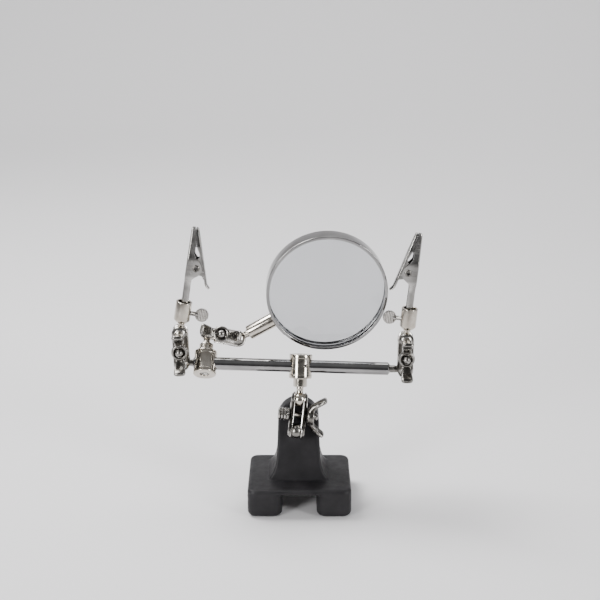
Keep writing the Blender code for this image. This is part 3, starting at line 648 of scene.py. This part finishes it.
def wing_nut():
    """Dished hub with two cupped wings, cast in one."""
    seat, bore = SEAT + GAP, 2.1
    voxel, smooth_passes = 0.2, 5
    hub = lathe([(0, 8.2), (2.6, 8.2), (3.2, 8.9), (3.9, 9.0), (4.4, 8.5), (4.5, 7.4), (4.2, seat + 0.8),
                 (3.5, seat), (0, seat)], STEPS, edge=0.45)
    nut = combine(hub, "UNION", wing(1), wing(-1))
    drilled = combine(nut, "DIFFERENCE", rod_mesh((0, 0, 0), (0, 0, 20), bore, 48))
    return fused(drilled, voxel, smooth_passes)


def clamp_frame(prefix):
    """A clamp's own frame: Z from its near ball to its far one, X along its bolt."""
    near, middle = place_of(prefix), place_of(prefix + "_nut_turn")
    return axis_frame(near, middle - near, axis_of(prefix + "_nut_turn"))


def add_clamp(prefix, sides, plate, nut, looks, nut_turn=0.0):
    """Two plates, their bolt and washer, and the wing nut turned by so many degrees."""
    placed = clamp_frame(prefix)
    steel = looks["nickel_steel"]
    half_turn = Matrix.Rotation(math.pi, 4, "Z")
    for side, turn in zip(sides, (Matrix.Identity(4), half_turn)):
        node = f"{prefix}_plate_{side}"
        add_piece(node + "_shape", plate.copy(), placed @ turn, prefix, "nickel_steel", steel, node)
    across = local(placed, (0, 0, SPACING / 2), X, Z)
    for part, mesh in (("bolt", clamp_bolt()), ("washer", lock_washer())):
        node = f"{prefix}_{part}"
        add_piece(node + "_shape", mesh, across, prefix, "nickel_steel", steel, node)
    node = prefix + "_wing_nut"
    nut_body = prefix + "_nut_turn"
    nut_place = across @ Matrix.Rotation(math.radians(nut_turn), 4, "Z")
    add_piece(node + "_shape", nut.copy(), nut_place, nut_body, "nickel_steel", steel, node, smooth=60)


# ---- crossbar, holders -------------------------------------------------------------------------
def bar_holder():
    """A turned collar with a cross bore for the bar, a set screw's hole above and a stud's below."""
    step, step_end, bore, floor = 3.8, -11.15, STUD + 0.12, -5.4
    radius, top, screw_hole, screw_floor = HOLDER_RADIUS, HOLDER_HALF, 2.5, 2.5
    middle, band = radius - 0.12, 4.6
    outside = [(0, screw_floor), (screw_hole, screw_floor), (screw_hole, top), (radius, top),
               (radius, band), (middle, band - 0.1), (middle, 0.1 - band), (radius, -band),
               (radius, -top), (step, -top), (step, step_end), (bore, step_end), (bore, floor), (0, floor)]
    body = lathe(outside, 96, edge=0.42)
    hole = rod_mesh((-10, 0, 0), (10, 0, 0), BAR_RADIUS + 0.16, 64)
    dimple = lathe(soften([(0, 0.9), (0.9, 0.35), (0.9, -0.9), (0, -0.9)], 0.2), 24)
    turned_mesh(dimple, Matrix.Translation((2.6, -5.75, 0.6)) @ Matrix.Rotation(math.pi / 2, 4, "X"))
    return combine(body, "DIFFERENCE", hole, dimple)


def set_screw():
    """A short headless screw with a slot across its top."""
    radius, high, low, half_slot = 2.3, HOLDER_HALF - 0.35, 3.85, 0.42
    screw = lathe([(0, high), (radius, high), (radius, low), (0, low)], 48, edge=0.3)
    slot = box_mesh((-4, -half_slot, high - 1.1), (4, half_slot, high + 2))
    return bevelled(combine(screw, "DIFFERENCE", slot), 0.08)


def add_holder(holder, screw, stud, ball, along, bodies, looks):
    """The turned holder on the bar, its slotted screw and its ball stud."""
    holder_body, screw_body, stud_body = bodies
    stud_length, slot_turn = 12.3, math.radians(20)
    stud_place = axis_frame(ball, along, axis_of("crossbar_slide"))
    holder_place = local(stud_place, (0, 0, HOLDER_DISTANCE), Z, X)
    brass, steel = looks["nickel_brass"], looks["nickel_steel"]
    add_piece(stud + "_shape", ball_stud(stud_length), stud_place, stud_body, "nickel_brass", brass, stud)
    add_piece(holder + "_shape", bar_holder(), holder_place, holder_body, "nickel_brass", brass, holder)
    turned = holder_place @ Matrix.Rotation(slot_turn, 4, "Z")
    add_piece(screw + "_shape", set_screw(), turned, screw_body, "nickel_steel", steel, screw)


def crossbar():
    """A round bar with chamfered ends, bored for a stud at each end."""
    left, right, depth, chamfer = -58.5, 48.5, 8.5, 0.9
    bore, end_radius = STUD + 0.1, BAR_RADIUS - chamfer
    return lathe([(0, right - depth), (bore, right - depth), (bore, right), (end_radius, right),
                  (BAR_RADIUS, right - chamfer), (BAR_RADIUS, left + chamfer), (end_radius, left),
                  (bore, left), (bore, left + depth), (0, left + depth)], 96, edge=0.15)


# ---- arms --------------------------------------------------------------------------------------
def clip_socket():
    """A cup for the clip's tail, with a stud's hole below and the thumb screw's in its side."""
    bottom, floor, top = 6.1, 9.2, 17.9
    bore, stud_hole, screw_hole, level = 3.35, STUD + 0.12, 1.5, THUMB_SCREW_HEIGHT
    body = lathe([(bore, top), (SOCKET_RADIUS, top), (SOCKET_RADIUS, bottom + 1.5),
                  (SOCKET_RADIUS - 1.35, bottom), (stud_hole, bottom), (stud_hole, floor), (bore, floor)],
                 80, True, 0.3)
    return combine(body, "DIFFERENCE", rod_mesh((1, 0, level), (8, 0, level), screw_hole))


def thumb_screw():
    """A threaded shank and a round flat head with ribbed faces."""
    thin, shank_end = 1.25, 8.2
    shank = lathe([(0, shank_end), (thin, shank_end), (thin, 7.2)] + threaded(thin, 7.1, 2.9, 0.5, 0.14)
                  + [(1.1, 2.6), (0, 2.6)], 32)
    radius, half, pitch, centre, steps = 3.65, 1.2, 0.9, 10.3, 72
    sections = []
    for step in range(steps + 1):
        along = radius * (2 * step / steps - 1) * 0.998
        width = math.sqrt(radius ** 2 - along ** 2)
        thick = half - 0.15 * (1 - math.cos(2 * math.pi * along / pitch))
        edge = min(0.3, width * 0.4)
        corner = [(width - edge, thick), (width, thick - edge), (width, edge - thick),
                  (width - edge, -thick)]
        outline = corner + [(-x, y) for x, y in reversed(corner)]
        sections.append([(x, y, centre + along) for x, y in outline])
    return combine(loft(sections), "UNION", shank)


def bite_line(height):
    """Where the two jaws meet, from the clip's middle line."""
    near_tip, tip_height, lean = 0.8, 57.7, 0.175
    return near_tip + (tip_height - height) * lean


def moving_back(height):
    """The moving jaw's straight spine, which leans more than the bite."""
    near_tip, tip_height, lean = 2.6, 58.0, 0.28
    return near_tip + (tip_height - height) * lean


def jaw_half_width(height):
    """Both noses narrow from where their teeth start."""
    widest, taper = 2.5, 0.11
    return widest - (height - TEETH_START) * taper


def fold(height, back, lip, half, round_back):
    """A section of folded sheet: a back with rounded corners and two walls that end at lip."""
    shallowest, smallest_corner = SHEET + 0.12, 0.06
    turn = 1 if lip > back else -1
    depth = max(abs(lip - back), shallowest)
    outer = min(round_back, half - 0.05, depth * 0.8)
    inner = max(outer - SHEET, smallest_corner)
    points = [(depth, half)]
    quarter = [math.radians(angle) for angle in (0, 22, 45, 68, 90)]
    corner = [(outer - outer * math.sin(a), half - outer + outer * math.cos(a)) for a in quarter]
    points += corner + [(d, -y) for d, y in reversed(corner)] + [(depth, -half)]
    wall = half - SHEET
    corner = [(SHEET + inner - inner * math.sin(a), wall - inner + inner * math.cos(a))
              for a in quarter]
    inside = [(depth, wall)] + corner + [(d, -y) for d, y in reversed(corner)] + [(depth, -wall)]
    points += list(reversed(inside))
    return [(back + turn * d, y, height) for d, y in points]


def smoothed(rows, spacing=0.5):
    """Rows of numbers, the first of them a height, filled in along a smooth curve."""
    made = []
    for index in range(len(rows) - 1):
        first, second = rows[index], rows[index + 1]
        before = rows[index - 1] if index else first
        after = rows[index + 2] if index + 2 < len(rows) else second
        count = max(1, round((second[0] - first[0]) / spacing))
        for step in range(count):
            t = step / count
            height = first[0] + (second[0] - first[0]) * t
            row = [height]
            for column in range(1, len(first)):
                p0, p1, p2, p3 = (numbers[column] for numbers in (before, first, second, after))
                row.append(0.5 * (2 * p1 + (p2 - p0) * t + (2 * p0 - 5 * p1 + 4 * p2 - p3) * t * t
                                  + (3 * p1 - p0 - 3 * p2 + p3) * t ** 3))
            made.append(tuple(row))
    made.append(tuple(rows[-1]))
    return made


def teeth_rows(offset):
    """(height, lip) of a row of saw teeth along the bite line."""
    pitch, tooth = 0.93, 0.34
    rows = []
    for index in range(round((BITE_TOP - TEETH_START) / pitch)):
        for share, wave in ((0.0, -tooth), (0.45, 0.0), (0.9, tooth), (0.97, -tooth)):
            height = TEETH_START + (index + share) * pitch
            rows.append((height, bite_line(height) + wave + offset))
    return rows


def rivet_hole():
    across, height = RIVET
    return rod_mesh((across, -6, height), (across, 6, height), 1.4, 32)


def fixed_jaw():
    """Rolled tail, round ears at the rivet, a neck and a toothed, tapering nose."""
    corner = 0.9
    ears = [(9.8, 2.1, 1.9, 1.85), (24.0, 2.1, 1.9, 1.85), (28.5, 2.0, 1.95, 1.6), (31.0, 2.3, 2.9, 1.2),
            (32.6, 3.6, 3.35, 1.0), (34.2, 5.6, 3.4, 0.9), (36.0, 6.6, 3.4, 0.9), (38.0, 6.9, 3.4, 0.9),
            (40.0, 6.2, 3.4, 0.9), (41.8, 4.8, 3.4, 0.9), (43.4, 3.1, 3.25, 0.9), (45.0, 2.0, 3.0, 0.9),
            (47.0, 1.8, 2.75, 0.9), (49.2, 1.95, 2.52, 0.9)]
    sections = [fold(height, CLIP_BACK, lip, half, turn) for height, lip, half, turn in smoothed(ears)]
    sections += [fold(height, CLIP_BACK, lip, jaw_half_width(height), corner)
                 for height, lip in teeth_rows(-BITE_GAP)]
    sections.append(fold(BITE_TOP, CLIP_BACK, 0.55, 1.56, 0.8))
    sections.append(fold(58.8, CLIP_BACK + 0.15, 0.45, 1.45, 0.6))
    sections.append(fold(CLIP_TIP, CLIP_BACK + 0.5, 0.4, 1.2, 0.4))
    return combine(loft(sections), "DIFFERENCE", rivet_hole())


def moving_jaw():
    """Finger tab that curls out, a straight spine, ears inside the fixed jaw's, and teeth."""
    corner, curl, curl_end, curl_length = 0.8, 1.1, 30.0, 2.7
    tab = [(27.3, 0.85, 2.3), (28.2, 1.0, 2.45), (curl_end, 1.1, 2.35), (33.6, 1.2, 2.4)]
    sections = []
    for height, depth, half in smoothed(tab, 0.35):
        back = moving_back(height) + curl * (max(curl_end - height, 0.0) / curl_length) ** 2
        sections.append(fold(height, back, back - depth, half, corner))
    ears = [(34.2, 5.6, 2.5), (35.2, 2.6, 2.5), (36.4, 0.8, 2.5), (37.8, 0.2, 2.5), (39.4, 0.4, 2.5),
            (41.0, 1.4, 2.5), (42.4, 3.0, 2.5), (43.6, 4.6, 2.5), (45.0, 4.7, 2.5), (46.6, 4.0, 2.5),
            (48.4, 3.1, 2.5), (49.2, 2.7, 2.5)]
    sections += [fold(height, moving_back(height), lip, half, corner)
                 for height, lip, half in smoothed(ears)]
    sections += [fold(height, moving_back(height), lip, jaw_half_width(height), corner)
                 for height, lip in teeth_rows(BITE_GAP)]
    sections.append(fold(BITE_TOP, moving_back(BITE_TOP), 0.95, 1.56, 0.7))
    sections.append(fold(58.8, moving_back(58.8) - 0.12, 0.85, 1.45, 0.5))
    sections.append(fold(CLIP_TIP, moving_back(CLIP_TIP) - 0.4, 0.9, 1.2, 0.3))
    return combine(loft(sections), "DIFFERENCE", rivet_hole())


def hollow_rivet():
    """A tube with a rounded flange outside each of the fixed jaw's ears."""
    wall, flange, end, bore, barrel = 3.7, 1.9, 4.2, 0.65, 1.1
    half_outline = [(bore, end - 0.5), (bore + 0.35, end), (flange - 0.25, end), (flange, end - 0.2),
                    (flange, wall), (barrel, wall)]
    outline = half_outline + [(radius, -height) for radius, height in reversed(half_outline)]
    return lathe(outline, 40, True, 0.16)


def clip_spring():
    """Close coils round the rivet, with a leg against each jaw's back."""
    across, height = RIVET
    radius, turns, half, steps, wire = 1.9, 4.5, 1.3, 96, 0.24
    leg_side, leg_rise, leg_foot = 0.9, 2.6, 32.0
    path = [(moving_back(leg_foot) - 1.4, -half, leg_foot),
            (across + radius + leg_side, -half, height - leg_rise)]
    for index in range(steps + 1):
        angle = 2 * math.pi * turns * index / steps
        depth = -half + 2 * half * index / steps
        path.append((across + radius * math.cos(angle), depth, height + radius * math.sin(angle)))
    path += [(across - radius - leg_side, half, height + leg_rise), (CLIP_BACK + 1.3, half, height + 6.0)]
    return curve_tube(path, wire)


def add_arm(side, shapes, looks):
    """Everything that hangs on one end of the bar."""
    bar_stud_length, socket_stud_length, coil_half = 14.2, 8.8, 1.0
    steel, brass, dark = looks["nickel_steel"], looks["nickel_brass"], looks["clip_steel"]
    stud_body, node = f"{side}_bar_stud_turn", f"{side}_bar_ball_stud"
    bar_ball = place_of(stud_body)
    stud_place = axis_frame(bar_ball, place_of("crossbar_holder_turn") - bar_ball, Y)
    add_piece(node + "_shape", ball_stud(bar_stud_length), stud_place, stud_body, "nickel_steel", steel,
              node)
    add_clamp(f"{side}_clamp", ("front", "back"), shapes["plate"], shapes["nut"], looks)

    placed = axis_frame(place_of(f"{side}_socket_turn"), axis_of(f"{side}_socket_turn"),
                        axis_of(f"{side}_thumb_screw_turn"))
    screw_place = local(placed, (0, 0, THUMB_SCREW_HEIGHT), X, Z)
    rivet_place = local(placed, (RIVET[0], 0, RIVET[1]), Y, X)
    clip = f"{side}_clip_slide"
    rows = [("socket_ball_stud", ball_stud(socket_stud_length), placed, f"{side}_socket_swing",
             "nickel_brass", brass),
            ("clip_socket", clip_socket(), placed, f"{side}_socket_turn", "nickel_brass", brass),
            ("thumb_screw", thumb_screw(), screw_place, f"{side}_thumb_screw_turn", "nickel_steel", steel),
            ("clip_fixed_jaw", fixed_jaw(), placed, clip, "nickel_steel", dark),
            ("clip_moving_jaw", moving_jaw(), placed, f"{side}_jaw_turn", "nickel_steel", dark),
            ("clip_rivet", hollow_rivet(), rivet_place, clip, "nickel_steel", steel)]
    for part, mesh, where, body, slot, look in rows:
        node = f"{side}_{part}"
        add_piece(node + "_shape", mesh, where, body, slot, look, node)
    coil_ends = [placed @ (Vector((RIVET[0], depth, RIVET[1])) * MM)
                 for depth in (coil_half, -coil_half)]
    node = f"{side}_clip_spring"
    add_piece(node + "_shape", clip_spring(), placed, clip, "nickel_steel", steel, node,
              bend=(f"{side}_jaw_turn", *coil_ends))


# ---- magnifier ---------------------------------------------------------------------------------
def lens_ring():
    """A rolled band with turned-in lips, its lapped seam, and the peg for the handle."""
    outer, half, lip, sheet = RING_RADIUS, RING_HALF, 31.4, 0.8
    inner, wall = outer - sheet, half - sheet
    band = lathe([(outer, half), (outer, -half), (lip, -half), (lip, -wall), (inner, -wall),
                  (inner, wall), (lip, wall), (lip, half)], 160, True, 0.4)
    seam_start, seam_angle, seam_steps = 183, 13.2, 12
    seam_top, seam_root = outer + 0.28, outer - 0.3
    seam_half = half - 0.25
    edge = [(seam_top, seam_half - 0.2), (seam_top, 0.2 - seam_half), (seam_root, -seam_half),
            (seam_root, seam_half)]
    lap = []
    for step in range(seam_steps + 1):
        angle = math.radians(seam_start + seam_angle * step / seam_steps)
        lap.append([(radius * math.cos(angle), radius * math.sin(angle), height)
                    for radius, height in edge])
    peg_start, peg_radius = 17, 2.2
    peg = rod_mesh((peg_start - LENS_DISTANCE, 0, 0), (0.4 - outer, 0, 0), peg_radius, 32)
    return combine(band, "UNION", bevelled(loft(lap), 0.08), peg)


def lens_glass():
    """Two shallow domed faces and a thin edge."""
    edge, middle, steps = 1.3, 3.4, 28
    shares = [step / steps for step in range(steps + 1)]
    upper = [(LENS_RADIUS * share, middle - (middle - edge) * share ** 2) for share in shares]
    return lathe(upper + [(radius, -height) for radius, height in reversed(upper)], 160)


def lens_handle():
    """A plain tube that joins the lens's stud to the ring's peg."""
    start, end, outer, bore = 7.2, 22.9, 4.0, 2.5
    return lathe([(bore, end), (outer, end), (outer, start), (bore, start)], 72, True, 0.45)


def add_magnifier(shapes, looks):
    """The sleeve on the bar, its clamp, and the lens on its stud and handle."""
    bodies = ("magnifier_sleeve_turn", "sleeve_set_screw_turn", "magnifier_ball_stud_turn")
    add_holder("magnifier_sleeve", "sleeve_set_screw", "magnifier_ball_stud",
               place_of("magnifier_ball_stud_turn"), axis_of("magnifier_ball_stud_turn"), bodies, looks)
    add_clamp("magnifier_clamp", ("front", "back"), shapes["wide_plate"], shapes["nut"], looks)
    body, stud_length = "magnifier_turn", 14.5
    forward = math.radians(LENS_FORWARD)
    facing = Vector((0, -math.cos(forward), -math.sin(forward)))
    placed = axis_frame(place_of(body), axis_of(body), facing)
    glass_place = local(placed, (0, 0, LENS_DISTANCE), X, Z)
    brass = looks["nickel_brass"]
    stud, handle = "lens_ball_stud", "lens_handle"
    add_piece(stud + "_shape", ball_stud(stud_length), placed, "lens_stud_swing", "nickel_brass", brass,
              stud)
    add_piece(handle + "_shape", lens_handle(), placed, body, "nickel_brass", brass, handle)
    add_piece("lens_ring_shape", lens_ring(), glass_place, body, "chrome", looks["chrome"], "lens_ring")
    add_piece("lens_shape", lens_glass(), glass_place, body, "glass", looks["glass"], "lens")


# ---- floor, light and camera -------------------------------------------------------------------
def look_at(item, target):
    item.rotation_euler = (Vector(target) - item.location).to_track_quat("-Z", "Y").to_euler()


def add_floor():
    """A wide pale sheet that the base stands on, swept up far behind it."""
    bend, far, side, sunk = 900.0, 1500.0, 6000.0, 0.2
    profile = [(-side, 0.0)] + [(far + bend * math.sin(math.radians(angle)),
                                 bend - bend * math.cos(math.radians(angle)))
                                for angle in range(0, 91, 6)]
    profile.append((far + bend, side))
    working = bmesh.new()
    rows = [[working.verts.new((across, along, height - sunk)) for across in (-side, side)]
            for along, height in profile]
    for near, away in zip(rows, rows[1:]):
        working.faces.new((near[0], near[1], away[1], away[0]))
    mesh = mesh_from(working)
    mesh.shade_smooth()
    floor = bpy.data.objects.new("floor", mesh)
    bpy.context.scene.collection.objects.link(floor)
    look = Look("floor_paper", Base_Color=(0.64, 0.632, 0.64, 1), Roughness=0.85)
    look.bump(look.noise(900, 3), 0.0001, 0.15)
    floor.data.materials.append(look.material)


def add_light(name, location, target, size, watts, spread):
    """A soft box, in metres and degrees."""
    lamp = bpy.data.lights.new(name, "AREA")
    lamp.shape = "RECTANGLE"
    lamp.size, lamp.size_y = size
    lamp.energy = watts
    lamp.spread = math.radians(spread)
    item = bpy.data.objects.new(name, lamp)
    bpy.context.scene.collection.objects.link(item)
    item.location = location
    look_at(item, target)


def add_world():
    """Soft grey surroundings, brighter overhead, so that plated metal has something to show."""
    dark, bright, strength = (0.07, 0.07, 0.072, 1), (0.38, 0.38, 0.39, 1), 0.8
    world = bpy.data.worlds.new("studio")
    world.use_nodes = True
    tree = world.node_tree
    place = tree.nodes.new("ShaderNodeTexCoord").outputs["Generated"]
    split = tree.nodes.new("ShaderNodeSeparateXYZ")
    ramp = tree.nodes.new("ShaderNodeValToRGB")
    tree.links.new(place, split.inputs["Vector"])
    tree.links.new(split.outputs["Z"], ramp.inputs["Fac"])
    ramp.color_ramp.elements[0].position = 0.0
    ramp.color_ramp.elements[0].color = dark
    ramp.color_ramp.elements[1].position = 0.8
    ramp.color_ramp.elements[1].color = bright
    tree.links.new(ramp.outputs["Color"], tree.nodes["Background"].inputs["Color"])
    tree.nodes["Background"].inputs["Strength"].default_value = strength
    bpy.context.scene.world = world


def add_lights():
    """A soft key from above, a tall strip on each side, and a light for the floor behind."""
    centre = Vector((0, 0, 0.08))
    strip = (0.26, 0.5)
    add_light("key", centre + Vector((-0.6, 0.3, 1.1)), centre, (0.6, 0.6), 11.0, 110.0)
    add_light("left", centre + Vector((-0.6, -0.67, 0.28)), centre, strip, 1.1, 60.0)
    add_light("right", centre + Vector((0.74, -0.52, 0.28)), centre, strip, 0.95, 60.0)
    add_light("backdrop", Vector((0, 1.3, 2.2)), (0, 1.8, 0), (3.0, 2.0), 50.0, 120.0)


def add_camera():
    lens_mm, distance = 67.2, 600.0
    pitch = math.radians(17.0)
    target = Vector((2.38, 0.75, 116.6))
    camera = bpy.data.objects.new("camera", bpy.data.cameras.new("camera"))
    bpy.context.scene.collection.objects.link(camera)
    back = Vector((0, -math.cos(pitch), math.sin(pitch)))
    camera.data.lens = lens_mm
    camera.data.sensor_width = 36.0
    camera.data.clip_start = 0.01
    camera.location = (target + back * distance) * MM
    look_at(camera, target * MM)
    bpy.context.scene.camera = camera


# ---- the whole object --------------------------------------------------------------------------
def add_base(shapes, looks):
    """The casting, the ball stud in its pillar and the clamp that stands on it."""
    node, slot, stud_length = "base_casting", "black_paint", 16.8
    add_piece(node + "_shape", base_shape(), Matrix.Identity(4), "base", slot, looks[slot], node, smooth=60)
    node, slot, body = "base_ball_stud", "nickel_steel", "base_stud_turn"
    placed = axis_frame(place_of(body), axis_of(body), X)
    add_piece(node + "_shape", ball_stud(stud_length), placed, body, slot, looks[slot], node)
    add_clamp("post_clamp", ("right", "left"), shapes["plate"], shapes["nut"], looks, POST_NUT_TURN)


def add_bar(looks):
    """The crossbar in its holder, on top of the post clamp."""
    bodies = ("crossbar_holder_turn", "holder_set_screw_turn", "post_ball_stud_swing")
    add_holder("crossbar_holder", "holder_set_screw", "post_ball_stud", place_of("post_ball_stud_swing"),
               axis_of("crossbar_holder_turn"), bodies, looks)
    placed = axis_frame(place_of("crossbar_holder_turn"), axis_of("crossbar_slide"), Y)
    add_piece("crossbar_shape", crossbar(), placed, "crossbar_slide", "chrome", looks["chrome"],
              "crossbar")


def main():
    looks = {"black_paint": black_paint(), "nickel_steel": nickel_steel(), "nickel_brass": nickel_brass(),
             "clip_steel": clip_steel(), "chrome": chrome(), "glass": lens_glass_look()}
    shapes = {"plate": clamp_plate(MOUTH_ANGLE, MOUTH_INWARD),
              "wide_plate": clamp_plate(WIDE_MOUTH_ANGLE, WIDE_MOUTH_INWARD), "nut": wing_nut()}
    add_base(shapes, looks)
    add_bar(looks)
    for side in ("left", "right"):
        add_arm(side, shapes, looks)
    add_magnifier(shapes, looks)
    add_floor()
    add_world()
    add_lights()
    add_camera()


main()
bpy.context.view_layer.update()
